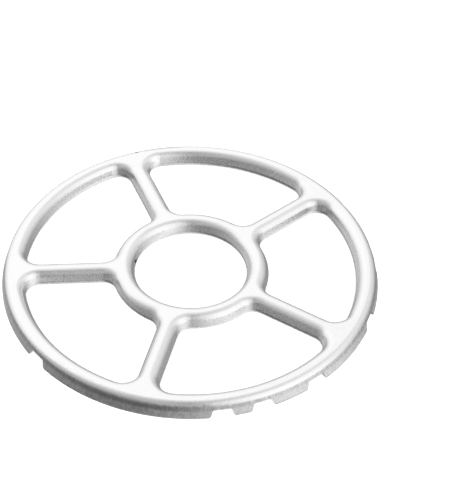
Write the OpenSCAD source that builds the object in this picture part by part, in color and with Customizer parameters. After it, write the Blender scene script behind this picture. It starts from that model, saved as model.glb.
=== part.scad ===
// Stove reducer ring: one round of sheet steel, pressed so that the outer ring, the hub
// and the spokes between them are all channels, open below.

/* [Ring] */
// Outer diameter, across the skirt's lower edge
ring_d = 140; // [125:1:170]
// Height from the skirt's lower edge to the flat top
ring_h = 6; // [5.6:0.1:8]
// Width of the outer ring, from the skirt to the windows
rim_w = 8.2; // [7.6:0.1:14]
// Thickness of the sheet
sheet_t = 1; // [0.6:0.1:1.2]

/* [Hub and spokes] */
// Diameter of the round hole in the hub
hole_d = 42; // [30:1:48]
// Width of the hub, from its hole to the windows
hub_w = 8.1; // [7.6:0.1:12]
// Number of spokes
spoke_count = 5; // [3:1:6]
// Width of a spoke
spoke_w = 8.1; // [7.6:0.1:12]
// Corner radius of the windows at the outer ring
outer_corner_r = 5.3; // [3:0.1:8]
// Corner radius of the windows at the hub
inner_corner_r = 5.1; // [3:0.1:8]

/* [Flanges round the hole and the windows] */
// Depth of the flanges, down from the flat top
flange_depth = 4.6; // [4.2:0.1:5.4]
// Radius of the shoulder over a flange, on the show side
shoulder_r = 3.1; // [2:0.1:3.2]
// Lean of a flange's wall from upright, in degrees
flange_lean = 24; // [8:1:26]
// Height of the upright lip at the foot of a flange
lip_h = 0.5; // [0.3:0.1:1]
// Radius of the soft crease over a lip, on the show side
crease_r = 1.4; // [1.3:0.1:2.2]

/* [Skirt] */
// Radius of the skirt's shoulder, on the show side
skirt_shoulder_r = 2.4; // [1.8:0.1:3.2]
// Lean of the skirt's wall from upright, in degrees
skirt_lean = 18; // [4:1:22]
// Height of the upright lip at the foot of the skirt
skirt_lip_h = 0.6; // [0.3:0.1:1.4]

/* [Notches] */
// Numbers of pan-support arms that the notches can be set over
arm_counts = [4, 5, 6];
// Width of a notch at its top
notch_w = 6.6; // [4:0.1:8]
// Height of a notch, up from the skirt's lower edge
notch_h = 3.2; // [2.6:0.1:3.8]
// Lean of a notch's sides from upright, in degrees
notch_lean = 18; // [8:1:26]
// Radius of the corners at the top of a notch
notch_corner_r = 0.8; // [0.4:0.1:1.2]
// Radius of the corners where a notch meets the lower edge
tab_corner_r = 1.1; // [0.5:0.1:1.3]

/* [Hidden] */
$fn = 96;
ring_r = ring_d / 2;
hole_r = hole_d / 2;
spoke_half = spoke_w / 2;
spoke_step = 360 / spoke_count;
first_spoke = 180;
first_notch = first_spoke + spoke_step / 2;
// How far a notch's round corners cross its straight sides, to meet them in clean points
corner_cross = 0.002;
// How far a ring of flange reaches into the window corners, in degrees: a hair, to join them
corner_hair = 0.000004;
// Longer than any section of the sheet
far = 2 * ring_h;

function round_to(v, step) = round(v / step) * step;

// Cosine and sine of the direction nearest to this angle for which both are short numbers,
// so that turned pieces keep their size to the last digit and meet their neighbours
function short_dir(a) =
    let (step = 0.000001,
         tries = [for (j = [-200 : 200])
            let (c = round_to(cos(a), step) + j * step)
            if (abs(c) <= 1)
                let (s = sign(sin(a)) * round_to(sqrt(1 - c * c), step))
                [abs(c * c + s * s - 1), c, s]],
         least = min([for (t = tries) t[0]]))
    [for (t = tries) if (t[0] == least) [t[1], t[2]]][0];

// Length of the straight wall of a pressed edge, between its shoulder and its crease
function wall_length(depth, shoulder, dir, lip) =
    (depth - lip - shoulder * (1 - dir.y) - crease_r * dir.y) / dir.x;

// Distance in from an edge to where the flat top starts
function flat_from(depth, shoulder, dir, lip) =
    shoulder * dir.x + crease_r * (1 - dir.x)
    + dir.y * wall_length(depth, shoulder, dir, lip);

flange_in = flat_from(flange_depth, shoulder_r, short_dir(flange_lean), lip_h);
skirt_in = flat_from(ring_h, skirt_shoulder_r, short_dir(skirt_lean), skirt_lip_h);
narrowest_flat = min(spoke_w - 2 * flange_in, hub_w - 2 * flange_in, rim_w - flange_in - skirt_in);
// Each pressed edge carries a strip of the flat top this wide, which the web laps over
lap = narrowest_flat / 3;

// Window corners beside a spoke that lies along +X: the direction of each one's centre and
// its distance along the spoke are rounded, and the radii of the edges follow from them
outer_reach = ring_r - rim_w - outer_corner_r;
outer_a = round_to(asin((spoke_half + outer_corner_r) / outer_reach), 0.001);
outer_x = round_to(outer_reach * cos(outer_a), 0.001);
outer_r = outer_x * tan(outer_a) - spoke_half;
window_r = outer_x / cos(outer_a) + outer_r;
inner_reach = hole_r + hub_w + inner_corner_r;
inner_a = round_to(asin((spoke_half + inner_corner_r) / inner_reach), 0.001);
inner_x = round_to(inner_reach * cos(inner_a), 0.001);
inner_r = inner_x * tan(inner_a) - spoke_half;
hub_r = inner_x / cos(inner_a) - inner_r;

// Turns about Z, until +X points in this direction
module aim(dir) {
    multmatrix([[dir.x, -dir.y, 0, 0], [dir.y, dir.x, 0, 0], [0, 0, 1, 0], [0, 0, 0, 1]])
        children();
}

// Moves in two steps, a round one and the small rest, so that no digit is lost
module place(v) {
    near = [for (c = v) round_to(c, 0.001)];
    translate(near) translate(v - near) children();
}

// What lies behind a pressed edge's outer face, or behind one that is set in below it: the
// origin is the shoulder's centre, and the wall runs down from there to the crease
module behind_edge(shoulder, dir, wall, set_in) {
    circle(shoulder - set_in);
    translate([0, -far]) square([far, far + shoulder - set_in]);
    aim([dir.x, -dir.y]) {
        translate([set_in - shoulder, -wall]) square([far, wall]);
        translate([crease_r - shoulder, -wall])
            aim(dir) {
                circle(crease_r - set_in);
                translate([set_in - crease_r, -far]) square([far, far]);
            }
    }
}

// Section of a pressed edge: flat, shoulder, leaning wall, crease and lip. X runs from
// the edge into the metal, and Y is the height over the skirt's lower edge.
module edge_section(depth, shoulder, lean, lip) {
    dir = short_dir(lean);
    wall = wall_length(depth, shoulder, dir, lip);
    from = flat_from(depth, shoulder, dir, lip);
    intersection() {
        translate([-sheet_t, ring_h - depth]) square([sheet_t + from + lap, far]);
        translate([from, ring_h - shoulder])
            difference() {
                behind_edge(shoulder, dir, wall, 0);
                behind_edge(shoulder, dir, wall, sheet_t);
            }
    }
}

module flange_section() {
    edge_section(flange_depth, shoulder_r, flange_lean, lip_h);
}

// The flange round an arc, with the metal outside the arc's edge, or inside it
module flange_arc(r, from_a, angle, metal_inside = false) {
    rotate_extrude(angle = angle, start = from_a)
        place([r, 0])
            mirror([metal_inside ? 1 : 0, 0])
                flange_section();
}

// The flange round the ring's windows or the hub's edge, left open at each spoke for the
// window corners
module flange_ring(r, corner_a, metal_inside = false) {
    difference() {
        flange_arc(r, 0, 360, metal_inside);
        for (i = [0 : spoke_count - 1])
            aim(short_dir(first_spoke + i * spoke_step))
                rotate_extrude(angle = 2 * (corner_a - corner_hair), start = corner_hair - corner_a)
                    translate([r - rim_w, 0]) square([2 * rim_w, 2 * ring_h]);
    }
}

// One side of a spoke along +X, with the window corners at its two ends
module spoke_side() {
    place([outer_x, spoke_half, 0])
        rotate([90, 0, -90])
            linear_extrude(outer_x - inner_x)
                flange_section();
    place([outer_x, spoke_half + outer_r, 0]) flange_arc(outer_r, 270, 90 + outer_a);
    place([inner_x, spoke_half + inner_r, 0]) flange_arc(inner_r, 180 + inner_a, 90 - inner_a);
}

// The web's fillet in a window corner, out to a spoke's centre line and a ring's
module web_corner(centre, r, ring_mid, angle) {
    along = [[centre.x, 0], [ring_mid, 0], ring_mid * [cos(angle), sin(angle)]];
    order = centre.x < ring_mid ? [0, 1, 2] : [2, 1, 0];
    difference() {
        polygon([centre, for (i = order) along[i]]);
        translate(centre) circle(r);
    }
}

// The narrow flat top, which laps over the strips that the pressed edges carry
module web() {
    edge = flange_in + lap / 3;
    corner_edge = flange_in + lap / 2;
    rim_mid = (window_r + flange_in + ring_r - skirt_in) / 2;
    hub_mid = (hole_r + hub_r) / 2;
    translate([0, 0, ring_h - sheet_t])
        linear_extrude(sheet_t) {
            difference() {
                circle(ring_r - skirt_in - lap / 3);
                circle(window_r + edge);
            }
            difference() {
                circle(hub_r - edge);
                circle(hole_r + edge);
            }
            for (i = [0 : spoke_count - 1])
                rotate(first_spoke + i * spoke_step) {
                    translate([hub_mid, edge - spoke_half])
                        square([rim_mid - hub_mid, spoke_w - 2 * edge]);
                    for (side = [0, 1])
                        mirror([0, side]) {
                            web_corner([outer_x, spoke_half + outer_r],
                                       outer_r + corner_edge, rim_mid, outer_a);
                            web_corner([inner_x, spoke_half + inner_r],
                                       inner_r + corner_edge, hub_mid, inner_a);
                        }
                }
        }
}

// Outline of one notch, seen from outside: sloping sides, round corners at the top, and
// round corners on the tabs beside it
module notch_outline() {
    slope = tan(notch_lean);
    across = [cos(notch_lean), sin(notch_lean)];
    half_w = notch_w / 2;
    below = 1;
    corner = [half_w - notch_corner_r * (1 - across.y) / across.x, notch_h - notch_corner_r];
    corner_side = corner + notch_corner_r * across;
    side_x = half_w + slope * (notch_h + below);
    tab_y = 0.95 * tab_corner_r;
    tab_x = half_w + slope * (notch_h - tab_y) + tab_corner_r / across.x;
    tab_top = tab_y - tab_corner_r * across.y;
    polygon([
        [-corner_side.x, corner_side.y], [-side_x, -below],
        [side_x, -below], corner_side,
        [corner.x, notch_h], [-corner.x, notch_h]
    ]);
    for (side = [0, 1])
        mirror([side, 0]) {
            translate(corner) circle(notch_corner_r + corner_cross);
            difference() {
                translate([half_w, -below]) square([tab_x - half_w, below + tab_top]);
                translate([tab_x, tab_y]) circle(tab_corner_r + corner_cross);
            }
        }
}

// Directions of the notches: one pattern for each number of arms, all from one start
turns = [for (n = arm_counts, k = [0 : n - 1]) 360 * k / n];
notch_turns = [for (i = [0 : len(turns) - 1])
    if (len([for (j = [0 : i]) if (abs(turns[j] - turns[i]) < 0.01) j]) == 1) turns[i]];

// The outer shoulder and the skirt, with the notches cut in its lower edge
module skirt() {
    difference() {
        rotate_extrude()
            translate([ring_r, 0])
                mirror([1, 0])
                    edge_section(ring_h, skirt_shoulder_r, skirt_lean, skirt_lip_h);
        for (turn = notch_turns)
            rotate([0, 0, first_notch + turn])
                translate([ring_r - skirt_in, 0, 0])
                    rotate([90, 0, 90])
                        linear_extrude(2 * skirt_in)
                            notch_outline();
    }
}

module reducer_ring() {
    color("silver") {
        web();
        skirt();
        flange_arc(hole_r, 0, 360);
        flange_ring(window_r, outer_a);
        flange_ring(hub_r, inner_a, metal_inside = true);
        for (i = [0 : spoke_count - 1], side = [0, 1])
            aim(short_dir(first_spoke + i * spoke_step))
                mirror([0, side, 0])
                    spoke_side();
    }
}

reducer_ring();
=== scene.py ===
"""A stove reducer ring of pressed stainless sheet, on a pale studio floor."""
import math

import bpy
from mathutils import Matrix, Vector

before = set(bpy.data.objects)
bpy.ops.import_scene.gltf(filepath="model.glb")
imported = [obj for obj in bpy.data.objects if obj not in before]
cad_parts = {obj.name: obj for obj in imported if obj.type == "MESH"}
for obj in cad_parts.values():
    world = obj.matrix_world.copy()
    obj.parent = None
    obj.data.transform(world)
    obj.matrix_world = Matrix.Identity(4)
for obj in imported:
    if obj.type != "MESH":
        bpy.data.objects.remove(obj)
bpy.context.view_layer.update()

# The camera
# It stands a little left of the ring's front and looks down on it from about half a metre
# away, through a long lens, so that the far edge looks hardly smaller than the near one.
CAMERA_PLACE = Vector((-0.02219, -0.38928, 0.38678))
CAMERA_PAN = math.radians(5.598)
CAMERA_TILT = math.radians(43.400)
CAMERA_ROLL = math.radians(2.051)
LENS_MM = 109.92
NEAREST_SEEN = 0.01

lens = bpy.data.cameras.new("camera")
lens.lens = LENS_MM
lens.clip_start = NEAREST_SEEN
camera = bpy.data.objects.new("camera", lens)
bpy.context.collection.objects.link(camera)
camera.matrix_world = (
    Matrix.Translation(CAMERA_PLACE)
    @ Matrix.Rotation(-CAMERA_PAN, 4, "Z")
    @ Matrix.Rotation(math.pi / 2 - CAMERA_TILT, 4, "X")
    @ Matrix.Rotation(CAMERA_ROLL, 4, "Z")
)
bpy.context.scene.camera = camera
bpy.context.scene.view_settings.view_transform = "Standard"


# The reducer ring
# One round of stainless sheet, pierced and pressed so that ring, hub and spokes are all
# channels. The press leaves upright draw marks on the walls, tumbling leaves a satin grain all
# over, and trimming leaves dull cut edges. Painted shade darkens the skirt wall, a band high on
# it, its rim at the foot and the underside that faces down.
MM = 0.001
STEEL = (0.690, 0.690, 0.690, 1)
CUT_STEEL = (0.480, 0.480, 0.480, 1)
SATIN_ROUGHNESS = 0.20
CUT_ROUGHNESS = 0.50
UNDERSIDE_ROUGHNESS = 0.36
# Between which two values each zone fades: how squarely the sheet faces up, out or down, the
# radius where the skirt starts, and the heights of its parts, its notches and every foot
FACING_UP = (0.45, 0.85)
FACING_OUT = (0.3, 0.6)
FACING_DOWN = (0.3, 0.8)
SKIRT_INSIDE_MM = (66.5, 66.7)
SKIRT_WALL_MM = (4.2, 5.0)
SKIRT_FOOT_MM = (2.6, 3.4)
SKIRT_RIM_MM = (0.3, 0.9)
NOTCH_TOP_MM = (3.3, 3.4)
FLANGE_FOOT_MM = (2.0, 2.2)


def set_grey_stops(ramp, stops):
    """The stops of a colour ramp, each a position from 0 to 1 and a grey."""
    while len(ramp.elements) < len(stops):
        ramp.elements.new(0.5)
    for element, (position, grey) in zip(ramp.elements, stops):
        element.position = position
        element.color = (grey, grey, grey, 1)


class Socket:
    """A socket of a node tree. Sums and products of sockets add their Math nodes."""

    def __init__(self, tree, socket=None):
        self.tree = tree
        self.socket = socket

    def node(self, kind, settings=None, out=0, **inputs):
        """A new node: its settings, which output to use, and its inputs by name or place."""
        made = self.tree.nodes.new(kind)
        for name, value in (settings or {}).items():
            if name == "grey_stops":
                set_grey_stops(made.color_ramp, value)
            else:
                setattr(made, name, value)
        for name, value in inputs.items():
            key = int(name[1:]) if name[0] == "_" else name.replace("_", " ")
            if isinstance(value, Socket):
                self.tree.links.new(value.socket, made.inputs[key])
            else:
                made.inputs[key].default_value = value
        return Socket(self.tree, made.outputs[out])

    def maths(self, operation, a, b=0.0):
        return self.node("ShaderNodeMath", {"operation": operation}, _0=a, _1=b)

    def vectors(self, operation, a, b=(0, 0, 0), out="Vector"):
        return self.node("ShaderNodeVectorMath", {"operation": operation}, out, _0=a, _1=b)

    def scaled(self, vector, scale):
        """A vector or a colour, times one value."""
        return self.node("ShaderNodeVectorMath", {"operation": "SCALE"}, _0=vector, Scale=scale)

    def __add__(self, other):
        return self.maths("ADD", self, other)

    __radd__ = __add__

    def __sub__(self, other):
        return self.maths("SUBTRACT", self, other)

    def __rsub__(self, other):
        return self.maths("SUBTRACT", other, self)

    def __mul__(self, other):
        return self.maths("MULTIPLY", self, other)

    __rmul__ = __mul__

    def __abs__(self):
        return self.maths("ABSOLUTE", self)

    def upward(self):
        """The upward part of a vector."""
        return self.node("ShaderNodeSeparateXYZ", out="Z", Vector=self)

    def rise(self, low, high):
        """From 0 below the low value to 1 above the high one."""
        return self.node(
            "ShaderNodeMapRange", {"interpolation_type": "SMOOTHSTEP"},
            Value=self, From_Min=low, From_Max=high)

    def fall(self, low, high):
        """From 1 below the low value to 0 above the high one."""
        return 1 - self.rise(low, high)

    def noise(self, scale, detail, roughness=0.5):
        return self.node(
            "ShaderNodeTexNoise", Vector=self, Scale=scale, Detail=detail, Roughness=roughness)

    def feed(self, socket):
        self.tree.links.new(self.socket, socket)


steel = bpy.data.materials.new("satin_stainless_sheet")
steel.use_nodes = True
surface = steel.node_tree.nodes["Principled BSDF"]
surface.inputs["Metallic"].default_value = 1.0
shader = Socket(steel.node_tree)

place_mm = shader.scaled(shader.node("ShaderNodeTexCoord", out="Object"), 1 / MM)
height_mm = place_mm.upward()
flat_place = shader.vectors("MULTIPLY", place_mm, (1, 1, 0))
radius_mm = shader.vectors("LENGTH", flat_place, out="Value")
facing = shader.node("ShaderNodeNewGeometry", out="Normal")
facing_up = facing.upward()
facing_out = shader.vectors(
    "DOT_PRODUCT", shader.vectors("NORMALIZE", flat_place), facing, out="Value")

# The zones: 1 on the walls, on the parts of the skirt, on the cut edges of the notches and
# of everything else that faces straight down, and on the sheet's underside
walls = abs(facing_up).fall(*FACING_UP)
skirt = radius_mm.rise(*SKIRT_INSIDE_MM)
skirt_wall = skirt * height_mm.fall(*SKIRT_WALL_MM)
skirt_foot = skirt * height_mm.fall(*SKIRT_FOOT_MM)
# The skirt's rim at the foot, which carries painted shade
skirt_rim = skirt * height_mm.fall(*SKIRT_RIM_MM)
# A band high on the skirt, between its wall and its foot, that carries only painted shade
painted_shade_band = skirt_wall - skirt_foot
in_notches = skirt * abs(facing_out).fall(*FACING_OUT) * height_mm.fall(*NOTCH_TOP_MM)
facing_down = (0 - facing_up).rise(*FACING_DOWN)
low = height_mm.fall(*FLANGE_FOOT_MM)
cut = shader.maths("MAXIMUM", in_notches, facing_down * low)
underside = facing_down * (1 - low)

# Grain in two sizes, a speckle with it, broad patches where the steel is a little duller,
# and draw marks along the press's stroke, the strongest of them scores near the foot
GRAIN_PER_MM = 1.2
FINE_GRAIN_PER_MM = 3.6
PATCHES_PER_MM = 0.06
DRAW_MARKS_PER_MM = 1.2
DRAW_MARK_STRETCH = 0.30
SCORE_LEVELS = (0.52, 0.64)
NOISE_MIDDLE = 0.5
grain = place_mm.noise(GRAIN_PER_MM, detail=3, roughness=0.6)
fine_grain = place_mm.noise(FINE_GRAIN_PER_MM, detail=2)
speckle = place_mm.noise(GRAIN_PER_MM, detail=4, roughness=0.75) - NOISE_MIDDLE
patches = place_mm.noise(PATCHES_PER_MM, detail=3) - NOISE_MIDDLE
drawn_place = shader.vectors("MULTIPLY", place_mm, (1, 1, DRAW_MARK_STRETCH))
draw_marks = drawn_place.noise(DRAW_MARKS_PER_MM, detail=4, roughness=0.6)
scores = skirt_foot * draw_marks.rise(*SCORE_LEVELS)


def near_line(start, end, reach):
    """1 along a straight mark between two places in mm, fading to 0 at its reach."""
    start, way = Vector(start), Vector(end) - Vector(start)
    from_start = shader.vectors("SUBTRACT", place_mm, start)
    along = shader.vectors("DOT_PRODUCT", from_start, way / way.length_squared, out="Value")
    nearest = shader.scaled(way, shader.node("ShaderNodeClamp", Value=along))
    gap = shader.vectors("DISTANCE", from_start, nearest, out="Value")
    return gap.fall(reach / 3, reach)


# Three small marks of handling: a scratch up the far wall of a window, and dark nicks in
# the back edge and in the lip of the hole
scratch = near_line((34.5, 51.8, 3.2), (37.0, 51.5, 5.1), reach=0.28)
back_nick = near_line((-18.9, 64.4, 5.8), (-18.2, 64.6, 5.8), reach=0.6)
lip_nick = near_line((-20.6, 5.0, 2.6), (-20.2, 6.3, 1.6), reach=1.0)

# The even part of the steel's brightness, and how much each thing adds to it or takes
EVEN_SHADE = 1.02
PATCH_SHADE = 0.05
SPECKLE_SHADE = 0.12
WALL_SPECKLE_SHADE = 0.40
# Painted shade: the whole outer wall of the skirt darkened
SKIRT_WALL_PAINTED_SHADE = 0.08
# Painted shade: a dark band high on the skirt
BAND_PAINTED_SHADE = 0.14
# Painted shade: a dark rim along the foot of the skirt
RIM_PAINTED_SHADE = 0.22
DRAW_MARK_SHADE = 0.80
SCORE_SHADE = 0.10
# Painted shade: the underside that faces down is darker (its extra roughness is real dulling)
UNDERSIDE_PAINTED_SHADE = 0.08
BACK_NICK_SHADE = 0.60
LIP_NICK_SHADE = 0.90
nicks = BACK_NICK_SHADE * back_nick + LIP_NICK_SHADE * lip_nick
shade = (
    EVEN_SHADE + PATCH_SHADE * patches
    + (SPECKLE_SHADE + WALL_SPECKLE_SHADE * walls) * speckle
    - SKIRT_WALL_PAINTED_SHADE * skirt_wall - BAND_PAINTED_SHADE * painted_shade_band - RIM_PAINTED_SHADE * skirt_rim
    + DRAW_MARK_SHADE * skirt_wall * (draw_marks - NOISE_MIDDLE)
    - SCORE_SHADE * scores - UNDERSIDE_PAINTED_SHADE * underside - nicks)
colour = shader.node(
    "ShaderNodeMix", {"data_type": "RGBA"}, out=2, _0=cut, _6=STEEL, _7=CUT_STEEL)
shader.scaled(colour, shade).feed(surface.inputs["Base Color"])

# How much roughness each thing adds to the satin
WALL_DULLING = 0.03
GRAIN_DULLING = 0.08
PATCH_DULLING = 0.08
FOOT_DULLING = 0.14
SCORE_DULLING = 0.10
SCRATCH_DULLING = 0.20
satin = (
    SATIN_ROUGHNESS + WALL_DULLING * walls + GRAIN_DULLING * grain + PATCH_DULLING * patches
    + FOOT_DULLING * skirt_foot + SCORE_DULLING * scores + SCRATCH_DULLING * scratch)
satin = satin + underside * (UNDERSIDE_ROUGHNESS - satin)
(satin + cut * (CUT_ROUGHNESS - satin)).feed(surface.inputs["Roughness"])

# How high the grain and the draw marks stand, and how deep the scores and the scratch go
GRAIN_HEIGHT_MM = 0.050
FINE_GRAIN_HEIGHT_MM = 0.012
CUT_GRAIN_HEIGHT_MM = 0.030
DRAW_MARK_HEIGHT_MM = 0.030
SCORE_DEPTH_MM = 0.030
SCRATCH_DEPTH_MM = 0.050
relief_mm = (
    GRAIN_HEIGHT_MM * grain + FINE_GRAIN_HEIGHT_MM * fine_grain
    + DRAW_MARK_HEIGHT_MM * walls * draw_marks - SCORE_DEPTH_MM * scores
    + CUT_GRAIN_HEIGHT_MM * cut * grain - SCRATCH_DEPTH_MM * scratch)
shader.node(
    "ShaderNodeBump", out="Normal", Strength=1.0, Distance=MM, Height=relief_mm,
).feed(surface.inputs["Normal"])

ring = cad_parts["reducer_ring"]
for slot in ring.material_slots:
    slot.material = steel


# The floor and the light
# A pale matt table in a white studio. The steel mirrors soft boxes behind the ring and on its
# right, dark screens on its front left, an upright one in front and a faint one low behind. It
# doesn't mirror the table, or the lamp behind the camera that lifts the table to white.
FLOOR_SIDE = 6.0
FLOOR_WHITE = (0.90, 0.90, 0.90, 1)
FLOOR_ROUGHNESS = 0.9
# Brightness of the room from straight below, at 0, to straight above, at 1
ROOM_STOPS = (
    (0.00, 0.50), (0.20, 0.41), (0.37, 0.42), (0.50, 0.75),
    (0.67, 0.92), (0.85, 1.13), (0.95, 1.04), (1.00, 0.85))
# Each soft box and screen: azimuth and height of its middle, how far it reaches and how far
# its even core does, all in degrees, and the light that it adds, or the share that it takes
SOFT_BOXES = (
    (123, 19, 57, 43, 0.32), (318, -28, 65, 11, 0.55), (314, 26, 59, 2, 0.35),
    (320, -74, 48, 47, 0.31))
SCREENS = ((234, 26, 64, 0, 0.48), (247, -33, 67, 43, 0.50), (70, -15, 50, 10, 0.14))
# The upright screen: its azimuth, the share that it takes, and as parts of the room's radius
# where its sides fade out, where its foot fades in and where the front half of the room does
UPRIGHT_AZIMUTH = math.radians(267)
UPRIGHT_SHARE = 0.80
UPRIGHT_SIDES = (0.025, 0.12)
UPRIGHT_FOOT = (-0.29, -0.09)
UPRIGHT_FRONT = (0, 0.1)
LAMP_PLACE = 5 * CAMERA_PLACE
LAMP_SIDE = 1.0
LAMP_WATTS = 100

bpy.ops.mesh.primitive_plane_add(size=FLOOR_SIDE)
floor = bpy.context.object
floor.name = "floor"
floor.visible_glossy = False
pale = bpy.data.materials.new("pale_floor")
pale.use_nodes = True
matt = pale.node_tree.nodes["Principled BSDF"]
matt.inputs["Base Color"].default_value = FLOOR_WHITE
matt.inputs["Roughness"].default_value = FLOOR_ROUGHNESS
matt.inputs["Specular IOR Level"].default_value = 0.0
floor.data.materials.append(pale)

studio = bpy.data.worlds.new("studio")
bpy.context.scene.world = studio
studio.use_nodes = True
background = studio.node_tree.nodes["Background"]
background.inputs["Color"].default_value = (1, 1, 1, 1)
sky = Socket(studio.node_tree)
towards = sky.node("ShaderNodeTexCoord", out="Generated")
upwards = towards.upward()
room = sky.node("ShaderNodeValToRGB", {"grey_stops": ROOM_STOPS}, _0=upwards * 0.5 + 0.5)
light = room.node("ShaderNodeRGBToBW", Color=room)


def nearness(azimuth, height, reach, core):
    """From 0 outside a round patch of the room to 1 in its core."""
    azimuth, height = math.radians(azimuth), math.radians(height)
    middle = Vector((
        math.cos(height) * math.cos(azimuth), math.cos(height) * math.sin(azimuth),
        math.sin(height)))
    alike = sky.vectors("DOT_PRODUCT", towards, middle, out="Value")
    return alike.rise(math.cos(math.radians(reach)), math.cos(math.radians(core)))


for *patch, share in SCREENS:
    light = light * (1 - share * nearness(*patch))
ahead = (math.cos(UPRIGHT_AZIMUTH), math.sin(UPRIGHT_AZIMUTH), 0)
aside = (math.sin(UPRIGHT_AZIMUTH), -math.cos(UPRIGHT_AZIMUTH), 0)
from_its_middle = abs(sky.vectors("DOT_PRODUCT", towards, aside, out="Value"))
in_front = sky.vectors("DOT_PRODUCT", towards, ahead, out="Value").rise(*UPRIGHT_FRONT)
upright = in_front * from_its_middle.fall(*UPRIGHT_SIDES) * upwards.rise(*UPRIGHT_FOOT)
light = light * (1 - UPRIGHT_SHARE * upright)
for *patch, strength in SOFT_BOXES:
    light = light + strength * nearness(*patch)
light.feed(background.inputs["Strength"])

lamp = bpy.data.lights.new("table_lamp", "AREA")
lamp.size = LAMP_SIDE
lamp.energy = LAMP_WATTS
table_lamp = bpy.data.objects.new("table_lamp", lamp)
bpy.context.collection.objects.link(table_lamp)
table_lamp.matrix_world = (
    Matrix.Translation(LAMP_PLACE) @ LAMP_PLACE.to_track_quat("Z", "Y").to_matrix().to_4x4())
table_lamp.visible_glossy = False
